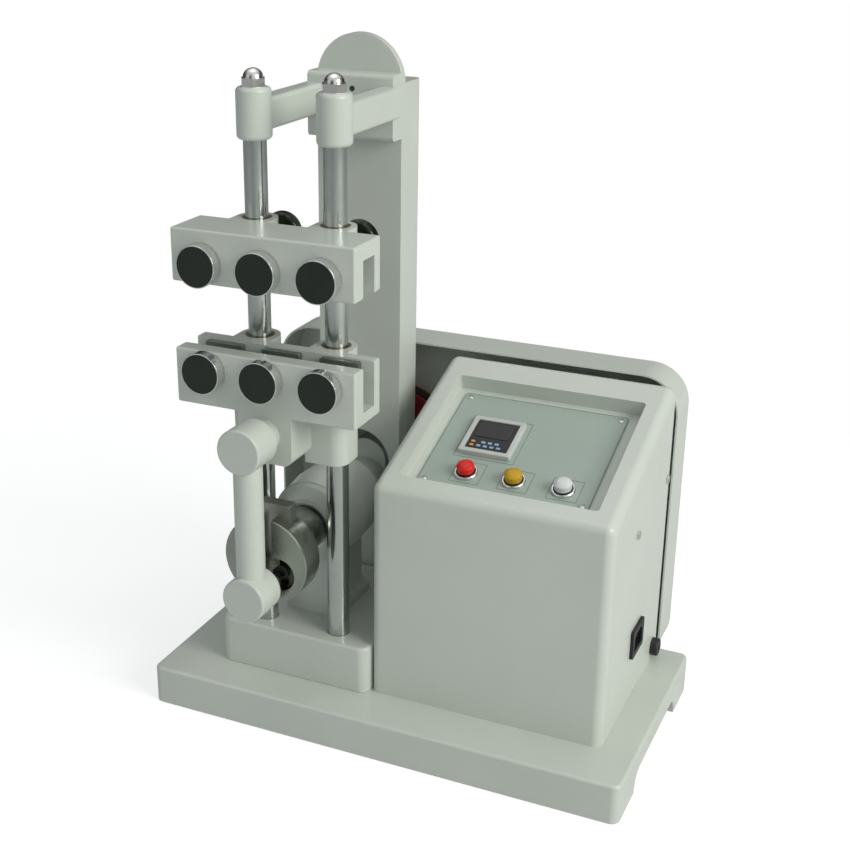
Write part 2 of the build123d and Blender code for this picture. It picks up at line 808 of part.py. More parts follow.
def make_control_box():
    floor = -recess_depth - box_wall
    shell = box_form(0, base_top)
    hollow = box_form(box_wall, base_top - box_wall)
    margin = box_wall
    grown_u = (recess_u[0] - margin, recess_u[1] + margin)
    grown_v = (recess_v[0] - margin, recess_v[1] + margin)
    hollow -= slope_block(grown_u, grown_v, floor, recess_depth, recess_corner + margin)
    shell -= hollow
    shell -= slope_block(recess_u, recess_v, -recess_depth, recess_depth, recess_corner)
    for cut in panel_openings(floor - 1, 0):
        shell -= cut
    right = box_left + box_width
    shell -= along_y(motor_x, motor_z, shaft_window, box_rear - 2 * box_wall, box_rear + 1)
    shell -= block(right - 2 * box_wall, right + 1, inlet_y - inlet_body_y / 2 - seat_fit,
                   inlet_y + inlet_body_y / 2 + seat_fit, inlet_z - inlet_body_z / 2 - seat_fit,
                   inlet_z + inlet_body_z / 2 + seat_fit)
    shell -= along_x(fuse_y, fuse_z, fuse_body_radius + seat_fit, right - 2 * box_wall, right + 1)
    for station, z in side_screws:
        shell -= along_x(station, z, cover_screw_radius + seat_fit, right - 2 * box_wall, right + 1)
    for x, z, seat in guard_posts:
        if seat == box_rear:
            shell -= along_y(x, z, cover_screw_radius + seat_fit, box_rear - 2 * box_wall, box_rear + 1)
    return shell


panel_corners = [(u, v) for u in (panel_u[0] + panel_screw_inset, panel_u[1] - panel_screw_inset)
                 for v in (panel_v[0] + panel_screw_inset, panel_v[1] - panel_screw_inset)]


# Cuts through the panel plate and the tray behind it for what the panel carries
def panel_openings(low, high):
    half = counter_body / 2 + counter_cutout_gap
    cuts = [slope_block((counter_u - half, counter_u + half), (counter_v - half, counter_v + half), low, high)]
    cuts += [slope_cylinder(u, button_v, button_barrel_radius + seat_fit, low, high) for u in button_u]
    cuts += [slope_cylinder(u, v, panel_screw_radius + seat_fit, low, high) for u, v in panel_corners]
    return cuts


panel_top = panel_thickness - recess_depth


def make_panel_plate():
    plate = slope_block(panel_u, panel_v, -recess_depth, panel_top, panel_corner)
    for cut in panel_openings(-recess_depth - 1, 0):
        plate -= cut
    return plate


def make_panel_screws():
    screws = []
    for u, v in panel_corners:
        head = slope_cylinder(u, v, panel_head_radius, panel_top, panel_top + panel_head_height)
        screws.append(head + slope_cylinder(u, v, panel_screw_radius, panel_top - 2 * panel_thickness - box_wall,
                                            panel_top + 1))
    return Compound(screws)


def make_counter():
    half, body = counter_side / 2, counter_body / 2
    face_low = panel_top + counter_bezel - counter_face_depth
    bezel = slope_block((counter_u - half, counter_u + half), (counter_v - half, counter_v + half),
                        panel_top, panel_top + counter_bezel, 2.0)
    bezel -= slope_block((counter_u - counter_face_u / 2, counter_u + counter_face_u / 2),
                         (counter_v - counter_face_v / 2, counter_v + counter_face_v / 2),
                         face_low, panel_top + counter_bezel + 1, 1.0)
    return bezel + slope_block((counter_u - body, counter_u + body), (counter_v - body, counter_v + body),
                               panel_top - counter_depth, panel_top + 1)


def make_button_bodies():
    bodies = []
    ring_top = panel_top + button_ring_height
    nut_top = -recess_depth - box_wall
    for u in button_u:
        body = slope_cylinder(u, button_v, button_ring_radius, panel_top, ring_top)
        body += slope_cylinder(u, button_v, button_barrel_radius, panel_top - button_barrel_length, panel_top + 1)
        body += slope_cylinder(u, button_v, button_nut_radius, nut_top - button_nut_height, nut_top)
        body -= slope_cylinder(u, button_v, button_stem_radius + running_fit,
                               ring_top - button_stem_length - button_travel_gap, ring_top + 1)
        bodies.append(body)
    return Compound(bodies)


def make_button_cap(u):
    ring_top = panel_top + button_ring_height
    low = ring_top + button_travel_gap
    cap = Cylinder(button_cap_radius, button_cap_height)
    cap = fillet(cap.edges().filter_by(GeomType.CIRCLE).group_by(Axis.Z)[-1], button_cap_round)
    cap = slope * Pos(u, button_v, low + button_cap_height / 2) * cap
    return cap + slope_cylinder(u, button_v, button_stem_radius, ring_top - button_stem_length, low + 1)


def make_power_inlet():
    right = box_left + box_width
    flange = block(right, right + inlet_flange_depth, inlet_y - inlet_flange_y / 2, inlet_y + inlet_flange_y / 2,
                   inlet_z - inlet_flange_z / 2, inlet_z + inlet_flange_z / 2)
    flange = fillet(edges_along(flange, Axis.X), 3.0)
    flange += block(right - inlet_body_depth, right + 1, inlet_y - inlet_body_y / 2, inlet_y + inlet_body_y / 2,
                    inlet_z - inlet_body_z / 2, inlet_z + inlet_body_z / 2)
    mouth = right + inlet_flange_depth
    socket = block(mouth - socket_depth, mouth + 1, inlet_y - socket_y / 2, inlet_y + socket_y / 2,
                   inlet_z - socket_z / 2, inlet_z + socket_z / 2)
    flange -= chamfer(edges_along(socket, Axis.X).group_by(Axis.Z)[-1], 4.0)
    for place in (-1, 0, 1):
        station = inlet_y + place * blade_pitch
        z = inlet_z + (blade_offset if place == 0 else -blade_offset)
        flange += block(mouth - socket_depth - 1, mouth - socket_depth + blade_length,
                        station - blade_thickness / 2, station + blade_thickness / 2,
                        z - blade_height / 2, z + blade_height / 2)
    return flange


def make_fuse_holder():
    right = box_left + box_width
    cap = along_x(fuse_y, fuse_z, fuse_cap_radius, right, right + fuse_cap_height)
    cap = fillet(cap.edges().filter_by(GeomType.CIRCLE).group_by(Axis.X)[-1], 1.5)
    cap -= block(right + fuse_cap_height - 1.5, right + fuse_cap_height + 1, fuse_y - fuse_cap_radius * 0.6,
                 fuse_y + fuse_cap_radius * 0.6, fuse_z - 1, fuse_z + 1)
    return cap + along_x(fuse_y, fuse_z, fuse_body_radius, right - fuse_body_length, right + 1)


def make_cover_screws():
    screws = []
    rear = guard_front + guard_depth
    for x, z, seat in guard_posts:
        head = along_y(x, z, cover_head_radius, rear, rear + cover_head_height)
        screws.append(head + along_y(x, z, cover_screw_radius, seat - cover_grip + 1, rear + 1))
    right = box_left + box_width
    for station, z in side_screws:
        head = along_x(station, z, cover_head_radius, right, right + cover_head_height)
        screws.append(head + along_x(station, z, cover_screw_radius, right - cover_grip, right + 1))
    return Compound(screws)


nodes = {
    "base_plate": make_base_plate(),
    "pedestal": make_pedestal(),
    "column": make_column(),
    "top_bracket": make_top_bracket(),
    "guide_rods": make_guide_rods(),
    "acorn_nuts": make_acorn_nuts(),
    "spindle_housing": make_spindle_housing(),
    "spindle_bearings": make_spindle_bearings(),
    "spindle": make_spindle(),
    "crank_disc": make_crank_disc(),
    "crank_slide": make_crank_slide(),
    "crank_lock_screw": make_crank_lock_screw(),
    "crank_pin": make_crank_pin(),
    "connecting_rod": make_connecting_rod(),
    "rod_bushes": make_rod_bushes(),
    "wrist_pin": make_wrist_pin(),
    "crosshead": make_crosshead(),
    "crosshead_bushes": make_crosshead_bushes(),
    "upper_beam": make_upper_beam(),
    "upper_bushes": make_upper_bushes(),
    "driven_pulley": make_driven_pulley(),
    "drive_belt": make_drive_belt(),
    "motor": make_motor(),
    "motor_shaft": make_motor_shaft(),
    "motor_pulley": make_motor_pulley(),
    "belt_guard": make_belt_guard(),
    "control_box": make_control_box(),
    "panel_plate": make_panel_plate(),
    "panel_screws": make_panel_screws(),
    "counter": make_counter(),
    "button_bodies": make_button_bodies(),
    "power_inlet": make_power_inlet(),
    "fuse_holder": make_fuse_holder(),
    "cover_screws": make_cover_screws(),
}
for side, place, x, z in stations:
    nodes[f"{side}_jaw_{place}"] = make_jaw(side, x, z)
    nodes[f"{side}_clamp_screw_{place}"] = make_clamp_screw(x, z)
    nodes[f"{side}_knob_face_{place}"] = make_knob_face(x, z)
for place, x in zip(("left", "right"), guide_x):
    nodes[f"lock_pad_{place}"] = make_lock_pad(x)
    nodes[f"lock_knob_{place}"] = make_lock_knob(x)
for name, u in zip(button_names, button_u):
    nodes[f"{name}_button"] = make_button_cap(u)

os.makedirs("parts", exist_ok=True)
for name, shape in nodes.items():
    export_step(shape, f"parts/{name}.step")
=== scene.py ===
import json
import math

import bmesh
import bpy
import numpy as np
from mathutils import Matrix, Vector


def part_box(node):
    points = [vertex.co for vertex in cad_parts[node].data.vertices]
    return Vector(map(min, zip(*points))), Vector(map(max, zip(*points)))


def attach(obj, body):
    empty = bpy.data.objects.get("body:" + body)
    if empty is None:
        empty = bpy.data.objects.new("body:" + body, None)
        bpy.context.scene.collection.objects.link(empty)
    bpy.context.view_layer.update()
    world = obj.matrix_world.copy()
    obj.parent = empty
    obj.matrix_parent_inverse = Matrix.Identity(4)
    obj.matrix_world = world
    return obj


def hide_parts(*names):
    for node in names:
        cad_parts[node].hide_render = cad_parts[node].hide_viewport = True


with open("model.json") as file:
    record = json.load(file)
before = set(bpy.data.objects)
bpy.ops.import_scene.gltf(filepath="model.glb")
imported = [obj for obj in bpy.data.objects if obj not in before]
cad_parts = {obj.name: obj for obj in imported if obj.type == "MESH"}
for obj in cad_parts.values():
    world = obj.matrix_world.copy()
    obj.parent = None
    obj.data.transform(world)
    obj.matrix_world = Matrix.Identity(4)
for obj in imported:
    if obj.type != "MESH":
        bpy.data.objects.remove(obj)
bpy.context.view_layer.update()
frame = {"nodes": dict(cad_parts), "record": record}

nodes = frame["nodes"]
record = frame["record"]
slotOf = {part["node"]: part["material_slot"] for part in record["subparts"]}
bodyOf = {node: body for body, members in record["behaviour"]["bodies"].items() for node in members}
xAxis, yAxis, zAxis = np.eye(3)


def boxOf(node):  # low and high corner of a node, to the micrometre, as its mesh is in single precision
    return [np.round(corner, 6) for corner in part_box(node)]


print("frame loaded,", len(nodes), "nodes")


# Shader maths: a wrapped output socket, so that sums and products of masks read as they are meant
class Signal:
    def __init__(self, owner, socket):
        self.owner, self.socket = owner, socket

    def math(self, operation, *values):
        return self.owner.node("ShaderNodeMath", {"operation": operation}, dict(enumerate(values)))

    def __add__(self, other):
        return self.math("ADD", self, other)

    def __radd__(self, other):
        return self.math("ADD", other, self)

    def __mul__(self, other):
        return self.math("MULTIPLY", self, other)

    def __rmul__(self, other):
        return self.math("MULTIPLY", other, self)

    def step(self, low, high):  # smooth ramp from 0 at low to 1 at high
        return self.owner.node("ShaderNodeMapRange", {"interpolation_type": "SMOOTHSTEP"},
                               {0: self, 1: low, 2: high, 3: 0.0, 4: 1.0})


# A tree of shader nodes, for a finish or for the room
class NodeTree:
    def __init__(self, tree, outputKind):
        self.tree = tree
        tree.nodes.clear()
        self.output = tree.nodes.new(outputKind)

    def connect(self, socket, value):
        if isinstance(value, Signal):
            self.tree.links.new(value.socket, socket)
        elif socket.type == "RGBA":
            socket.default_value = (*value, 1.0)
        else:
            socket.default_value = value

    def node(self, kind, settings=None, inputs=None, output=0):
        made = self.tree.nodes.new(kind)
        for name, value in (settings or {}).items():
            if name == "stops":
                self.setRamp(made.color_ramp, value)
            else:
                setattr(made, name, value)
        for name, value in (inputs or {}).items():
            self.connect(made.inputs[name], value)
        return Signal(self, made.outputs[output])

    def setRamp(self, ramp, stops):  # stops are (position, grey) pairs
        while len(ramp.elements) < len(stops):
            ramp.elements.new(1.0)
        for element, (position, grey) in zip(ramp.elements, stops):
            element.position, element.color = position, (grey, grey, grey, 1.0)

    def mixColor(self, factor, first, second):
        return self.node("ShaderNodeMix", {"data_type": "RGBA"}, {0: factor, 6: first, 7: second}, output=2)

    def show(self, surface):
        self.connect(self.output.inputs["Surface"], surface)

    def eyeRays(self):  # rays straight from the eye, and all that it follows, through mirrors and glass too
        kinds = ("Is Camera Ray", "Is Glossy Ray", "Is Transmission Ray")
        straight, mirrored, refracted = [self.node("ShaderNodeLightPath", output=kind) for kind in kinds]
        return straight, straight + mirrored + refracted


# A finish: one Principled shader, whose sockets take a constant or a signal
class Finish(NodeTree):
    def __init__(self, name, baseColor, roughness, metallic=0.0, fixed=None):
        self.material = bpy.data.materials.new(name)
        self.material.use_nodes = True
        super().__init__(self.material.node_tree, "ShaderNodeOutputMaterial")
        self.shader = self.tree.nodes.new("ShaderNodeBsdfPrincipled")
        self.surface = Signal(self, self.shader.outputs[0])
        self.show(self.surface)
        constants = {"Base Color": baseColor, "Roughness": roughness, "Metallic": metallic, **(fixed or {})}
        for socket, value in constants.items():
            self.feed(socket, value)

    def feed(self, socket, value):
        self.connect(self.shader.inputs[socket], value)

    def place(self, scale=(1, 1, 1)):  # object coordinates in metres, stretched along the axes
        coords = self.node("ShaderNodeTexCoord", output="Object")
        return self.node("ShaderNodeMapping", {}, {"Vector": coords, "Scale": scale})

    def noise(self, scale, detail, stretch=(1, 1, 1), roughness=0.5):
        return self.node("ShaderNodeTexNoise", {}, {"Vector": self.place(stretch), "Scale": scale,
                                                    "Detail": detail, "Roughness": roughness})

    def bump(self, height, distance, strength):
        return self.node("ShaderNodeBump", {}, {"Height": height, "Distance": distance, "Strength": strength})

    def toolMarks(self, axis, scale):  # fine rings about an axis along Y: noise of the distance from it
        coords = self.node("ShaderNodeTexCoord", output="Object")
        moved = self.node("ShaderNodeMapping", {}, {"Vector": coords, "Location": (-axis[0], 0, -axis[1]),
                                                    "Scale": (1, 0, 1)})
        radius = self.node("ShaderNodeVectorMath", {"operation": "LENGTH"}, {0: moved}, output="Value")
        return self.node("ShaderNodeTexNoise", {"noise_dimensions": "1D"},
                         {"W": radius, "Scale": scale, "Detail": 3.0})


# Enamel: clouds and grime blend two tones and dull the gloss, over orange peel and the waves of the casting
enamelWear = {"coat": 0.25, "coatRoughness": 0.12,
              "cloudScale": 9.0, "cloudRange": (0.30, 0.75), "cloudTone": 0.7, "cloudDulls": 0.10,
              "grimeScale": 60.0, "grimeRange": (0.55, 0.85), "grimeTone": 0.25, "grimeDulls": 0.08,
              "waveScale": 70.0, "waveShare": 1.5, "bumpStrength": 0.6}
enamels = {
    "casting_paint": {"light": (0.630, 0.668, 0.618), "shade": (0.578, 0.615, 0.566), "gloss": 0.30,
                      "peelScale": 520.0, "peelDepth": 0.00006},
    "sheet_paint": {"light": (0.636, 0.674, 0.624), "shade": (0.598, 0.636, 0.588), "gloss": 0.36,
                    "peelScale": 800.0, "peelDepth": 0.00005},
    "pulley_red": {"light": (0.42, 0.030, 0.030), "shade": (0.30, 0.020, 0.022), "gloss": 0.34,
                   "peelScale": 500.0, "peelDepth": 0.00008},
    "motor_paint": {"light": (0.05, 0.08, 0.11), "shade": (0.04, 0.06, 0.09), "gloss": 0.42,
                    "peelScale": 500.0, "peelDepth": 0.00008},
    "panel_anodised": {"light": (0.375, 0.450, 0.405), "shade": (0.350, 0.420, 0.380), "gloss": 0.44,
                       "peelScale": 1500.0, "peelDepth": 0.00002},
}


def makeEnamel(name, light, shade, gloss, peelScale, peelDepth):
    wear = enamelWear
    coat = {"Coat Weight": wear["coat"], "Coat Roughness": wear["coatRoughness"]}
    enamel = Finish(name, light, gloss, fixed=coat)
    cloud = enamel.noise(wear["cloudScale"], detail=4.0).step(*wear["cloudRange"])
    grime = enamel.noise(wear["grimeScale"], detail=5.0, roughness=0.65).step(*wear["grimeRange"])
    tone = cloud * wear["cloudTone"] + grime * wear["grimeTone"]
    enamel.feed("Base Color", enamel.mixColor(tone, light, shade))
    enamel.feed("Roughness", gloss + wear["cloudDulls"] * cloud + wear["grimeDulls"] * grime)
    wave = enamel.noise(wear["waveScale"], detail=3.0)
    relief = enamel.noise(peelScale, detail=2.0) + wear["waveShare"] * wave
    enamel.feed("Normal", enamel.bump(relief, peelDepth, wear["bumpStrength"]))
    return enamel.material


# Metal: fine grain, stretched along the way it was worked, and smears of handling
metalWear = {"smearScale": 40.0, "smearRange": (0.3, 0.8), "smearTone": 0.5, "smearDulls": 0.16,
             "grainTone": 0.5, "grainDulls": 0.06, "bumpStrength": 0.5}
metals = {
    "chrome_rod": {"base": (0.56, 0.59, 0.57), "dark": (0.46, 0.49, 0.47), "gloss": 0.07, "grain": 900.0,
                   "stretch": (1, 1, 0.04), "depth": 0.000004},
    "bright_nut": {"base": (0.80, 0.80, 0.78), "dark": (0.66, 0.66, 0.64), "gloss": 0.14, "grain": 500.0},
    "ground_steel": {"base": (0.60, 0.60, 0.58), "dark": (0.48, 0.48, 0.46), "gloss": 0.25, "grain": 700.0,
                     "stretch": (1, 0.1, 1)},
    "machined_steel": {"base": (0.46, 0.47, 0.43), "dark": (0.33, 0.34, 0.30), "gloss": 0.24, "grain": 900.0,
                       "stretch": (1, 0.2, 1)},
    "black_oxide": {"base": (0.10, 0.10, 0.10), "dark": (0.05, 0.05, 0.05), "gloss": 0.38, "grain": 500.0},
    "bronze": {"base": (0.34, 0.27, 0.18), "dark": (0.22, 0.17, 0.11), "gloss": 0.42, "grain": 700.0,
               "stretch": (1, 1, 0.1)},
    "cast_pulley": {"base": (0.30, 0.30, 0.30), "dark": (0.20, 0.20, 0.20), "gloss": 0.42, "grain": 300.0},
    "screw_zinc": {"base": (0.74, 0.74, 0.70), "dark": (0.60, 0.60, 0.57), "gloss": 0.22, "grain": 600.0},
    "button_ring": {"base": (0.82, 0.82, 0.81), "dark": (0.70, 0.70, 0.69), "gloss": 0.16, "grain": 900.0},
    "jaw_steel": {"base": (0.36, 0.38, 0.36), "dark": (0.26, 0.28, 0.26), "gloss": 0.34, "grain": 800.0,
                  "stretch": (0.1, 1, 1)},
    "knob_metal": {"base": (0.84, 0.85, 0.84), "dark": (0.72, 0.73, 0.72), "gloss": 0.16, "grain": 900.0,
                   "stretch": (1, 0.06, 1)},
}


def makeMetal(name, base, dark, gloss, grain, stretch=(1, 1, 1), depth=0.00002):
    wear = metalWear
    metal = Finish(name, base, gloss, 1.0)
    lines = metal.noise(grain, detail=3.0, stretch=stretch)
    smear = metal.noise(wear["smearScale"], detail=3.0)
    tone = lines * wear["grainTone"] + smear * wear["smearTone"]
    metal.feed("Base Color", metal.mixColor(tone, base, dark))
    smeared = smear.step(*wear["smearRange"])
    metal.feed("Roughness", gloss + wear["smearDulls"] * smeared + wear["grainDulls"] * lines)
    metal.feed("Normal", metal.bump(lines, depth, wear["bumpStrength"]))
    return metal.material


# Steel faced on the lathe: rings about the crank's axis, which runs along Y through the middle of its disc
discMiddle = sum(boxOf("crank_disc")) / 2
turnedLook = {"base": (0.44, 0.46, 0.42), "dark": (0.25, 0.28, 0.24), "gloss": 0.20}
turnedWear = {"axis": (discMiddle[0], discMiddle[2]),
              "ringScale": 1400.0, "ringTone": 0.6, "ringDulls": 0.12, "ringDepth": 0.00004,
              "smearScale": 30.0, "smearRange": (0.35, 0.75), "smearTone": 0.4, "smearDulls": 0.10,
              "bumpStrength": 0.6}


def makeTurnedSteel(name, base, dark, gloss):
    wear = turnedWear
    steel = Finish(name, base, gloss, 1.0)
    rings = steel.toolMarks(wear["axis"], wear["ringScale"])
    smear = steel.noise(wear["smearScale"], detail=3.0)
    tone = rings * wear["ringTone"] + smear * wear["smearTone"]
    steel.feed("Base Color", steel.mixColor(tone, base, dark))
    smeared = smear.step(*wear["smearRange"])
    steel.feed("Roughness", gloss + wear["ringDulls"] * rings + wear["smearDulls"] * smeared)
    steel.feed("Normal", steel.bump(rings, wear["ringDepth"], wear["bumpStrength"]))
    return steel.material


# Plastic and rubber: a haze that darkens the base colour by the tint, and fine specks
plasticWear = {"hazeScale": 45.0, "hazeRange": (0.35, 0.8), "hazeDulls": 0.12, "speckDulls": 0.05,
               "bumpStrength": 0.4}
plastics = {
    "belt_rubber": {"base": (0.012, 0.012, 0.013), "gloss": 0.62, "grainScale": 1400.0, "grainDepth": 0.0001},
    "counter_black": {"base": (0.010, 0.011, 0.012), "gloss": 0.30},
    "inlet_black": {"base": (0.012, 0.012, 0.014), "gloss": 0.42},
    "knob_black": {"base": (0.007, 0.014, 0.006), "gloss": 0.16},
    "button_red": {"base": (0.78, 0.012, 0.006), "gloss": 0.24},
    "button_yellow": {"base": (0.58, 0.34, 0.004), "gloss": 0.26},
    "button_white": {"base": (0.74, 0.75, 0.76), "gloss": 0.24, "tint": 0.92},
    "bezelGrey": {"base": (0.60, 0.62, 0.60), "gloss": 0.34, "tint": 0.9},
    "windowGlass": {"base": (0.020, 0.021, 0.022), "gloss": 0.08, "grainScale": 300.0, "grainDepth": 0.0},
    "keyOrange": {"base": (0.85, 0.42, 0.10), "gloss": 0.35},
    "keyBlue": {"base": (0.34, 0.52, 0.78), "gloss": 0.35},
    # The line finish colours the printed frames and also the painted shadow line round the plate's rim
    "lineInk": {"base": (0.16, 0.20, 0.18), "gloss": 0.5},
}


def makePlastic(name, base, gloss, grainScale=900.0, grainDepth=0.00003, tint=0.75):
    wear = plasticWear
    plastic = Finish(name, base, gloss)
    speck = plastic.noise(grainScale, detail=2.0)
    haze = plastic.noise(wear["hazeScale"], detail=4.0).step(*wear["hazeRange"])
    plastic.feed("Base Color", plastic.mixColor(haze, base, tuple(tone * tint for tone in base)))
    plastic.feed("Roughness", gloss + wear["hazeDulls"] * haze + wear["speckDulls"] * speck)
    plastic.feed("Normal", plastic.bump(speck, grainDepth, wear["bumpStrength"]))
    return plastic.material


def finishName(slot):  # casting_paint becomes castingPaint
    first, *rest = slot.split("_")
    return first + "".join(word.capitalize() for word in rest)


# One finish for each of the frame's slots, and a few more for scene pieces
finishes = {}
for makeFinish, looks in ((makeEnamel, enamels), (makeMetal, metals), (makePlastic, plastics)):
    for slot, look in looks.items():
        finishes[slot] = makeFinish(finishName(slot), **look)
finishes["turnedDisc"] = makeTurnedSteel("turnedDisc", **turnedLook)
print("finishes made,", len(finishes))


# Corners (a, b, radius) walked counter-clockwise and moved inward by an inset along the mitres; each corner
# becomes an arc that is tangent to both its sides: centre + radius * (cos t, sin t) from one side's normal to
# the other's
def softOutline(corners, inset, steps):
    corners = np.array(corners, float)
    here, radius = corners[:, :2], np.maximum(corners[:, 2] - inset, 1e-5)
    ahead = np.roll(here, -1, 0) - here
    ahead /= np.linalg.norm(ahead, axis=1)[:, None]
    behind = np.roll(ahead, 1, 0)
    outAhead = np.stack([ahead[:, 1], -ahead[:, 0]], 1)
    outBehind = np.stack([behind[:, 1], -behind[:, 0]], 1)
    mitre = (outAhead + outBehind) / (1 + np.sum(outAhead * outBehind, 1))[:, None]
    turn = np.arctan2(behind[:, 0] * ahead[:, 1] - behind[:, 1] * ahead[:, 0], np.sum(behind * ahead, 1))
    reach = (radius * np.sign(turn))[:, None]
    centre = here - mitre * (inset + reach)
    start = np.arctan2(outBehind[:, 1], outBehind[:, 0])
    angle = start[:, None] + turn[:, None] * np.linspace(0, 1, steps + 1)
    arc = np.stack([np.cos(angle), np.sin(angle)], 2) * reach[:, None]
    return (centre[:, None] + arc).reshape(-1, 2)


# Open path of (radius, station, rounding) corners; each inner corner becomes the arc that touches both its
# legs, with its centre on their bisector at rounding / sin(half the opening)
def openOutline(corners, steps):
    corners = np.array(corners, float)
    here, rounding = corners[1:-1, :2], corners[1:-1, 2:]
    toBefore, toAfter = corners[:-2, :2] - here, corners[2:, :2] - here
    toBefore /= np.linalg.norm(toBefore, axis=1)[:, None]
    toAfter /= np.linalg.norm(toAfter, axis=1)[:, None]
    half = np.arccos(np.clip(np.sum(toBefore * toAfter, 1), -1, 1))[:, None] / 2
    bisector = toBefore + toAfter
    bisector /= np.linalg.norm(bisector, axis=1)[:, None]
    centre = here + bisector * rounding / np.sin(half)
    first = here + toBefore * rounding / np.tan(half) - centre
    last = here + toAfter * rounding / np.tan(half) - centre
    sweep = np.arctan2(first[:, 0] * last[:, 1] - first[:, 1] * last[:, 0], np.sum(first * last, 1))
    angle = np.arctan2(first[:, 1], first[:, 0])[:, None] + sweep[:, None] * np.linspace(0, 1, steps + 1)
    arcs = centre[:, None] + rounding[:, None] * np.stack([np.cos(angle), np.sin(angle)], 2)
    return np.concatenate([corners[:1, :2], arcs.reshape(-1, 2), corners[-1:, :2]])


# Corners of a rectangle about its centre, half its width and height away, all with one rounding
def rectangle(width, height, rounding, centre):
    x, y = width / 2, height / 2
    return [(centre[0] + a * x, centre[1] + b * y, rounding) for a, b in ((1, -1), (1, 1), (-1, 1), (-1, -1))]


# Quarter round from a wall to a face: inset radius * (1 - cos t) and rise radius * sin t, both from 0
def quarterRound(radius, steps=5):
    angle = np.linspace(0, math.pi / 2, steps + 1)
    return radius * (1 - np.cos(angle)), radius * np.sin(angle)


def placed(name, data):  # a new object in the scene, at the origin
    made = bpy.data.objects.new(name, data)
    bpy.context.scene.collection.objects.link(made)
    return made


# Rows of rings made a surface: a quad between each pair of neighbours along and across, a flat cap at either
# open end, or the last row joined to the first
def toMesh(name, grid, closeRows=False, capStart=True, capEnd=True):
    rows, columns = grid.shape[:2]
    row = np.arange(rows if closeRows else rows - 1)[:, None] * columns
    nextRow = (row + columns) % (rows * columns)
    column = np.arange(columns)[None, :]
    nextColumn = (column + 1) % columns
    quads = np.stack([row + column, row + nextColumn, nextRow + nextColumn, nextRow + column], -1)
    faces = quads.reshape(-1, 4).tolist()
    if capStart and not closeRows:
        faces.append(list(range(columns - 1, -1, -1)))
    if capEnd and not closeRows:
        faces.append(list(range((rows - 1) * columns, rows * columns)))
    mesh = bpy.data.meshes.new(name)
    mesh.from_pydata(grid.reshape(-1, 3).tolist(), [], faces)
    tidyMesh(mesh)
    return placed(name, mesh)


# Merges doubles, drops slivers, makes flat areas whole where an angle is given, and turns the faces outward
def tidyMesh(mesh, flatAngle=0.0):
    shape = bmesh.new()
    shape.from_mesh(mesh)
    bmesh.ops.remove_doubles(shape, verts=shape.verts, dist=2e-6)
    bmesh.ops.dissolve_degenerate(shape, edges=shape.edges, dist=1e-7)
    if flatAngle:
        bmesh.ops.dissolve_limit(shape, angle_limit=flatAngle, verts=shape.verts, edges=shape.edges)
    bmesh.ops.recalc_face_normals(shape, faces=shape.faces)
    shape.to_mesh(mesh)
    shape.free()
    mesh.update()


# Outline in a plane carried outward: origin + a * across + b * up + rise * normal, where each section is a
# (inset, rise) pair that moves the outline inward and up
def softPrism(name, corners, sections, origin, across, up, steps=8, closeRows=False):
    outlines = np.stack([softOutline(corners, inset, steps) for inset, rise in sections])
    rises = np.array([rise for inset, rise in sections])[:, None, None]
    grid = origin + outlines[..., :1] * across + outlines[..., 1:] * up + rises * np.cross(across, up)
    return toMesh(name, grid, closeRows)


# Surface of revolution: centre + station * axis + radius * (cos t * side + sin t * other), over a whole turn
def turned(name, corners, centre, axis, count, steps, closed=False):
    outline = openOutline(corners, steps)
    side = np.cross(axis, zAxis if abs(axis[2]) < 0.9 else xAxis)
    side /= np.linalg.norm(side)
    other = np.cross(axis, side)
    angle = np.linspace(0, 2 * math.pi, count, endpoint=False)[:, None]
    ring = np.cos(angle) * side + np.sin(angle) * other
    radius, station = outline[:, 0, None, None], outline[:, 1, None, None]
    grid = centre + station * axis + radius * ring
    return toMesh(name, grid, closed, outline[0, 0] > 0, outline[-1, 0] > 0)


def applied(made):  # turns the modifiers of a piece into mesh
    graph = bpy.context.evaluated_depsgraph_get()
    mesh = bpy.data.meshes.new_from_object(made.evaluated_get(graph))
    made.modifiers.clear()
    old = made.data
    made.data = mesh
    bpy.data.meshes.remove(old)
    return made


def cutOut(made, cutters):  # the cutters are used up
    for cutter in cutters:
        modifier = made.modifiers.new("cut", "BOOLEAN")
        modifier.operation, modifier.object, modifier.solver = "DIFFERENCE", cutter, "EXACT"
        applied(made)
        bpy.data.objects.remove(cutter)
    tidyMesh(made.data)
    return made


def joined(name, pieces):  # several closed shells as one object
    shape = bmesh.new()
    for piece in pieces:
        shape.from_mesh(piece.data)
        bpy.data.objects.remove(piece)
    mesh = bpy.data.meshes.new(name)
    shape.to_mesh(mesh)
    shape.free()
    return placed(name, mesh)


# Angles in degrees: edges sharper than the bevel's are softened, and faces within the flat angle are made one
edgeLook = {"bevelAngle": 35, "smoothAngle": 32, "flatAngle": 0.5, "flatWeight": 80}


def softenEdges(made, width, segments):
    bevel = made.modifiers.new("edges", "BEVEL")
    bevel.width, bevel.segments, bevel.limit_method = width, segments, "ANGLE"
    bevel.angle_limit = math.radians(edgeLook["bevelAngle"])
    return applied(made)


def flattenShading(made):  # large flat faces keep their own normal up to their soft edges
    made.data.shade_smooth()
    made.data.set_sharp_from_angle(angle=math.radians(edgeLook["smoothAngle"]))
    weighted = made.modifiers.new("shading", "WEIGHTED_NORMAL")
    weighted.keep_sharp, weighted.weight = True, edgeLook["flatWeight"]
    return applied(made)


# Last steps of every piece: its finish, picked by its slot's name unless another is given, its shading and
# the body that it rides on
def detail(made, body, slotName, material=None):
    made.data.materials.clear()
    made.data.materials.append(material or finishes[slotName])
    flattenShading(made)
    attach(made, body)


def settle(made, node, material=None):  # the same for a piece that takes a node's place
    detail(made, bodyOf[node], slotOf[node], material)
    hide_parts(node)


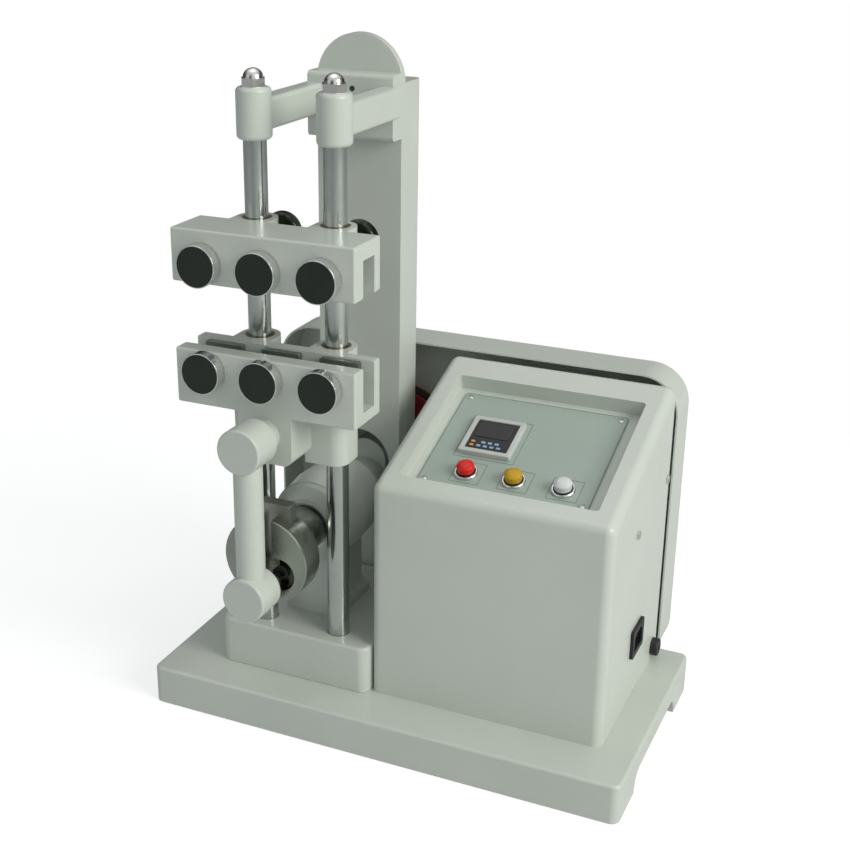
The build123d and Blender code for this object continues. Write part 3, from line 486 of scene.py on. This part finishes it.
# Rounds the upright edges that stand at one y and at any x of xs, between two heights: an edge is chosen
# where both its ends lie within reach of such a line
def roundUprights(mesh, xs, y, low, high, radius, reach=0.0006, shortest=0.002):
    points = np.empty(len(mesh.vertices) * 3)
    pairs = np.empty(len(mesh.edges) * 2, int)
    mesh.vertices.foreach_get("co", points)
    mesh.edges.foreach_get("vertices", pairs)
    start, end = points.reshape(-1, 3)[pairs.reshape(-1, 2)].transpose(1, 0, 2)
    bottom, top = np.minimum(start[:, 2], end[:, 2]), np.maximum(start[:, 2], end[:, 2])
    onLine = np.abs(start[:, :1] - np.array(xs)).min(1) < reach
    onLine &= (np.abs(start[:, 1] - y) < reach) & (np.abs(end[:, 1] - y) < reach)
    upright = (np.abs(start[:, 0] - end[:, 0]) < reach) & (top - bottom > shortest)
    inside = (bottom > low - reach) & (top < high + reach)
    shape = bmesh.new()
    shape.from_mesh(mesh)
    shape.edges.ensure_lookup_table()
    chosen = [shape.edges[index] for index in np.flatnonzero(onLine & upright & inside)]
    bmesh.ops.bevel(shape, geom=chosen, offset=radius, segments=8, profile=0.5, affect="EDGES",
                    clamp_overlap=False)
    shape.to_mesh(mesh)
    shape.free()
    print("rounded uprights", len(chosen))


# A node's own form with its doubles merged, its flat faces made whole and its edges softened
def dress(node, width, segments, material=None, corners=None):
    made = placed(node + "Skin", nodes[node].data.copy())
    tidyMesh(made.data, math.radians(edgeLook["flatAngle"]))
    if corners:
        roundUprights(made.data, **corners)
    softenEdges(made, width, segments)
    settle(made, node, material)


for node, target in nodes.items():  # what stays hidden inside has its finish too
    target.data.materials.clear()
    target.data.materials.append(finishes[slotOf[node]])

# Nodes that keep their own form; castings and the guard have softer edges, and the rest a fine one
dressedNodes = ["base_plate", "pedestal", "column", "top_bracket", "guide_rods", "acorn_nuts",
                "spindle_housing", "crank_disc", "crank_slide", "crank_lock_screw", "connecting_rod",
                "crosshead", "upper_beam", "belt_guard", "control_box", "panel_plate", "power_inlet",
                "fuse_holder", "cover_screws", "driven_pulley", "drive_belt", "lock_knob_left",
                "lock_knob_right"]
dressedNodes += [node for node in nodes if "jaw" in node or "clamp_screw" in node or "knob_face" in node]
castEdges = {"base_plate": 0.0010, "pedestal": 0.0008, "column": 0.0008, "top_bracket": 0.0008,
             "spindle_housing": 0.0008, "connecting_rod": 0.0008, "crosshead": 0.0006, "upper_beam": 0.0006,
             "belt_guard": 0.0004}
fineEdge = 0.0004
# The crosshead's guide bosses have rounder outer front corners, and the crank disc is turned steel
bossCorners = {"xs": (-0.153, -0.043), "y": -0.0815, "low": boxOf("crosshead")[0][2], "high": 0.3105,
               "radius": 0.0125}
ownLooks = {"crank_disc": {"material": finishes["turnedDisc"]}, "crosshead": {"corners": bossCorners}}

for node in dressedNodes:
    dress(node, castEdges.get(node, fineEdge), 3 if node in castEdges else 2, **ownLooks.get(node, {}))
print("pieces dressed,", len(dressedNodes))


# Panel plane: u runs to the right, v up the slope and w out of it, from the slope's lower left corner; the
# slope rises from the front of the box at the foot's height, and the plate's face lies below its rim
panelPlace = {"foot": 0.242, "rise": 0.066, "plateTop": -0.0135}
caseLow, caseHigh = boxOf("control_box")
slope = math.atan2(panelPlace["rise"], caseHigh[1] - caseLow[1])
plateTop = panelPlace["plateTop"]
panelSpace = {"origin": np.array([caseLow[0], caseLow[1], panelPlace["foot"]]), "across": xAxis,
              "up": np.array([0, math.cos(slope), math.sin(slope)])}
panelNormal = np.cross(panelSpace["across"], panelSpace["up"])


def platePoint(u, v):
    return panelSpace["origin"] + u * panelSpace["across"] + v * panelSpace["up"] + plateTop * panelNormal


# A soft prism in the panel plane: its sections rise from the plate's face, or from a level above it
def platePrism(name, corners, sections, steps=8, closeRows=False, level=0.0):
    raised = [(inset, plateTop + level + rise) for inset, rise in sections]
    return softPrism(name, corners, raised, **panelSpace, steps=steps, closeRows=closeRows)


# The counter's own sizes
counterLook = {"centre": (0.0750, 0.0974), "side": 0.0484, "height": 0.005, "rim": 0.0042, "sink": 0.0011,
               "cornerRound": 0.0018, "edgeRound": 0.0009, "lip": 0.0002,
               "faceGap": 0.0006, "faceRound": 0.0012,
               "windowSides": 0.003, "windowShare": 0.52, "windowLift": 0.17, "windowRound": 0.0022}
# What lies in the counter, as (inset, rise) pairs from its sunken face
inlays = {"face": [(0, -0.0004), (0, 0.0003), (0.0003, 0.0005)],
          "window": [(0, 0.0002), (0, 0.0008), (0.0003, 0.0010)],
          "key": [(0, 0.0002), (0, 0.0010), (0.0003, 0.0013)]}
# Its keys: width, height and rounding, and for each row its height, its first key's place and its count
keyLook = {"Orange": {"size": (0.0036, 0.0024, 0.0006), "rows": [(0.0040, 0.0050, 1), (0.0088, 0.0050, 1)]},
           "Blue": {"size": (0.0038, 0.0026, 0.0007), "rows": [(0.0040, 0.0115, 4), (0.0088, 0.0146, 3)]}}
keyPitch = 0.0062


# Panel counter: a pale bezel whose section runs up the wall, over the rim and down to the sunken face
def makeCounter(centre, side, height, rim, sink, cornerRound, edgeRound, lip, faceGap, faceRound, windowSides,
                windowShare, windowLift, windowRound):
    inset, rise = quarterRound(edgeRound)
    wall = [(0.0, lip)] + [(x, height - edgeRound + y) for x, y in zip(inset, rise)]
    inner = [(rim, height), (rim + lip, height - lip), (rim + 2 * lip, height - sink)]
    settle(platePrism("counterBezel", rectangle(side, side, cornerRound, centre), wall + inner), "counter",
           finishes["bezelGrey"])
    face, level = side - 2 * (rim + faceGap), height - sink
    sunken = rectangle(face, face, faceRound, centre)
    detail(platePrism("counterFace", sunken, inlays["face"], level=level), "frame", "counter_black")
    middle = (centre[0], centre[1] + face * windowLift)
    window = rectangle(face - 2 * windowSides, face * windowShare, windowRound, middle)
    detail(platePrism("counterWindow", window, inlays["window"], level=level), "frame", "counter_black",
           finishes["windowGlass"])
    left, low = centre[0] - face / 2, centre[1] - face / 2
    for colour, look in keyLook.items():
        spots = [(left + first + keyPitch * index, low + v)
                 for v, first, count in look["rows"] for index in range(count)]
        outlines = [rectangle(*look["size"], spot) for spot in spots]
        keys = [platePrism("key", outline, inlays["key"], 4, level=level) for outline in outlines]
        detail(joined("counterKeys" + colour, keys), "frame", "counter_black", finishes["key" + colour])


# Where the buttons stand on the plate, and their sections: corners of (radius, height, rounding)
buttonLook = {
    "row": 0.050, "columns": {"red": 0.0675, "yellow": 0.1113, "white": 0.1557},
    "cap": [(0.0, 0.0030, 0), (0.0076, 0.0030, 0.0003), (0.0079, 0.0088, 0.0016),
            (0.0045, 0.0108, 0.004), (0.0, 0.0111, 0)],
    "ring": [(0.0087, 0.0002, 0), (0.0105, 0.0002, 0.0001), (0.0105, 0.0018, 0.0006),
             (0.0098, 0.0025, 0.0003), (0.0087, 0.0025, 0.0002), (0.0087, 0.0010, 0)],
    "skirt": [(0.0, 0.0001, 0), (0.0086, 0.0001, 0.0001), (0.0086, 0.0030, 0.0004),
              (0.0082, 0.0032, 0.0002), (0.0082, 0.0003, 0.0001), (0.0, 0.0003, 0)],
}


# Push buttons: each section is turned about the panel's normal; the cap rides on its own body
def makeButtons(row, columns, cap, ring, skirt):
    rings, skirts = [], []
    for colour, u in columns.items():
        base = platePoint(u, row)
        settle(turned(colour + "Cap", cap, base, panelNormal, 72, 8), colour + "_button")
        rings.append(turned("ring", ring, base, panelNormal, 72, 4, True))
        skirts.append(turned("skirt", skirt, base, panelNormal, 72, 3))
    settle(joined("buttonRings", rings), "button_bodies")
    detail(joined("buttonSkirts", skirts), "frame", "counter_black")


# The printed frames round the counter and the buttons, and the edge frame, which is a dark line of painted
# shadow for the gap at the plate's rim: each frame's width, height and rounding, and how far its middle lies
# from the middle of the counter or the button
lineLook = {"width": 0.00045, "height": 0.00014, "foot": 0.00005,
            "counter": {"size": (0.0560, 0.0570, 0.0010), "shift": (0.0005, 0.0005)},
            "button": {"size": (0.0270, 0.0270, 0.0008), "shift": (0.0015, 0.0005)},
            "edge": {"size": (0.1546, 0.1276, 0.0038), "centre": (0.1055, 0.0920)}}


# Thin printed frames round the counter and the buttons, and a dark line of painted shadow round the plate's
# rim for the gap there: a closed strip of a square section run round each rectangle
def makePrintedLines(width, height, foot, counter, button, edge):
    strip = [(0, foot), (0, height), (width, height), (width, foot)]
    frames = [(counter, counterLook["centre"])]
    frames += [(button, (u, buttonLook["row"])) for u in buttonLook["columns"].values()]
    lines = []
    for look, (u, v) in frames:
        middle = (u + look["shift"][0], v + look["shift"][1])
        lines.append(platePrism("line", rectangle(*look["size"], middle), strip, 4, True))
    detail(joined("panelLines", lines), "frame", "panel_anodised", finishes["lineInk"])
    # Painted shadow: a dark strip round the plate, where the gap at its rim is shaded
    shadowGapLine = platePrism("edge", rectangle(*edge["size"], edge["centre"]), strip, 6, True)
    detail(joined("panelEdgeShadowLine", [shadowGapLine]), "frame", "panel_anodised", finishes["lineInk"])


# Corner screws of the panel; the shoulder is a share of the height, and the arms are shares of the radius
screwLook = {"radius": 0.0029, "height": 0.0014, "shoulder": 0.45, "armLength": 1.1, "armWidth": 0.22,
             "columns": (0.034, 0.177), "rows": (0.034, 0.150)}


# Pan heads with a cross recess: a dome turned about the panel's normal, less two bars that cross above its
# shoulder
def makeScrewHeads(radius, height, shoulder, armLength, armWidth, columns, rows):
    dome = [(0.0, -0.0004, 0), (radius, -0.0004, 0.0001), (radius * 0.96, height * shoulder, 0.0006),
            (radius * 0.45, height, 0.0015), (0.0, height, 0)]
    long, narrow = radius * armLength, radius * armWidth
    arms = [rectangle(long, narrow, 0.00002, (0, 0)), rectangle(narrow, long, 0.00002, (0, 0))]
    sections = [(0, height * shoulder), (0, height * 2)]
    heads = []
    for u in columns:
        for v in rows:
            centre = platePoint(u, v)
            bars = [softPrism("bar", arm, sections, centre, panelSpace["up"], -xAxis, 1) for arm in arms]
            heads.append(cutOut(turned("head", dome, centre, panelNormal, 48, 4), bars))
    settle(joined("panelScrewHeads", heads), "panel_screws")


boreLook = {"centre": (-0.0955, 0.0485, 0.5580), "radius": 0.0024}


# Small bore near the top of the bracket's flange, shown as painted shade: a dark dished disc turned about Y
# stands where the bore's shaded inside is
def makeFlangeBore(centre, radius):
    dish = [(0.0, -0.0001, 0), (radius, -0.0001, 0), (radius, 0.0003, 0.0001),
            (radius * 0.75, 0.00035, 0.0001), (radius * 0.6, 0.0001, 0.0001), (0.0, 0.00005, 0)]
    # The black oxide finish here paints the shade inside the bore
    detail(turned("flangeBorePaintedShade", dish, centre, -yAxis, 40, 3), "frame", "black_oxide")


makeFlangeBore(**boreLook)
makeCounter(**counterLook)
makePrintedLines(**lineLook)
makeButtons(**buttonLook)
makeScrewHeads(**screwLook)
print("panel dressed")


# Camera: place in metres, angles in degrees, focal length and middle in pixels of a square picture
cameraView = {"eye": (0.4528, -1.0868, 0.7390), "turn": 25.22, "fall": 21.15, "focal": 1425.7,
              "middle": (366.3, 417.0), "picture": 850.0, "sensor": 36.0}


def makeCamera(eye, turn, fall, focal, middle, picture, sensor):
    data = bpy.data.cameras.new("camera")
    camera = placed("camera", data)
    camera.location = eye
    camera.rotation_euler = (math.radians(90 - fall), 0, math.radians(turn))
    data.sensor_width, data.lens = sensor, focal / picture * sensor
    data.shift_x, data.shift_y = 0.5 - middle[0] / picture, middle[1] / picture - 0.5
    data.clip_start, data.clip_end = 0.05, 30.0
    bpy.context.scene.camera = camera


makeCamera(**cameraView)

# Square lamps: metres and watts
lamps = {
    "key": {"place": (2.3, -0.6, 1.55), "aim": (0, 0, 0.25), "size": 1.3, "power": 42.0,
            "color": (1.0, 0.985, 0.91)},
    "fill": {"place": (-1.7, -2.1, 1.3), "aim": (0, 0, 0.25), "size": 1.8, "power": 5.0,
             "color": (0.93, 0.99, 1.0)},
    "top": {"place": (-0.2, 0.1, 2.6), "aim": (0, 0, 0.2), "size": 1.6, "power": 7.0,
            "color": (1.0, 1.0, 1.0)},
}


def makeLamp(name, place, aim, size, power, color):
    data = bpy.data.lights.new(name, "AREA")
    data.shape, data.size, data.energy, data.color = "SQUARE", size, power, color
    lamp = placed(name, data)
    lamp.location = place
    lamp.rotation_euler = (Vector(aim) - Vector(place)).to_track_quat("-Z", "Y").to_euler()


for lampName, values in lamps.items():
    makeLamp(lampName, **values)

# The room: even soft light, stronger toward +X, white to the eye, and with dark walls and a grey ceiling that
# bright metal mirrors; the stops run round the horizon from the -X side over -Y, +X and +Y back to -X
room = {"ambient": 0.37, "lean": 0.16, "tint": (0.95, 1.0, 0.99), "ceiling": (0.75, 0.75, 0.75),
        "ceilingRange": (0.35, 0.9),
        "walls": [(0.0, 0.03), (0.10, 0.05), (0.19, 0.30), (0.24, 0.03), (0.29, 0.04), (0.325, 0.95),
                  (0.36, 1.0), (0.395, 0.10), (0.50, 0.03), (0.80, 0.02), (1.0, 0.03)]}
white = (1.0, 1.0, 1.0)


def makeWorld(ambient, lean, tint, ceiling, ceilingRange, walls):
    world = bpy.data.worlds.new("studio")
    bpy.context.scene.world = world
    world.use_nodes = True
    sky = NodeTree(world.node_tree, "ShaderNodeOutputWorld")
    straight, followed = sky.eyeRays()
    direction = sky.node("ShaderNodeTexCoord", output="Generated")
    x, y, z = [sky.node("ShaderNodeSeparateXYZ", {}, {0: direction}, output=axis) for axis in "XYZ"]
    heading = y.math("ARCTAN2", y, x) * (0.5 / math.pi) + 0.5
    wall = sky.node("ShaderNodeValToRGB", {"stops": walls}, {"Fac": heading})
    mirrored = sky.mixColor(z.step(*ceilingRange), wall, ceiling)
    backdrop = sky.node("ShaderNodeBackground", {}, {"Color": sky.mixColor(straight, mirrored, white),
                                                     "Strength": 1.0})
    softLight = sky.node("ShaderNodeBackground", {}, {"Color": tint, "Strength": ambient + lean * x})
    sky.show(sky.node("ShaderNodeMixShader", {}, {0: followed, 1: softLight, 2: backdrop}))


makeWorld(**room)
floorLook = {"size": 9.0, "paper": (0.68, 0.69, 0.70), "gloss": 0.8, "lift": (0.60, 0.60, 0.60),
             "fade": (0.45, 1.1)}


# Paper floor that keeps the shadow near the object and fades to plain white with distance
def makeFloor(size, paper, gloss, lift, fade):
    half = size / 2
    mesh = bpy.data.meshes.new("floor")
    corners = [(-half, -half, 0), (half, -half, 0), (half, half, 0), (-half, half, 0)]
    mesh.from_pydata(corners, [], [(0, 1, 2, 3)])
    floor = placed("floor", mesh)
    sheet = Finish("floorPaper", paper, gloss, 0.0, {"Emission Strength": 1.0})
    straight = sheet.eyeRays()[0]
    distance = sheet.node("ShaderNodeVectorMath", {"operation": "LENGTH"}, {0: sheet.place()}, output="Value")
    sheet.feed("Emission Color", sheet.mixColor(straight, (0, 0, 0), lift))
    glow = sheet.node("ShaderNodeEmission", {}, {"Color": white, "Strength": 1.0})
    faded = distance.step(*fade) * straight
    sheet.show(sheet.node("ShaderNodeMixShader", {}, {0: faded, 1: sheet.surface, 2: glow}))
    mesh.materials.append(sheet.material)


makeFloor(**floorLook)
bpy.context.scene.view_settings.view_transform = "Standard"
print("camera, lamps and floor placed")
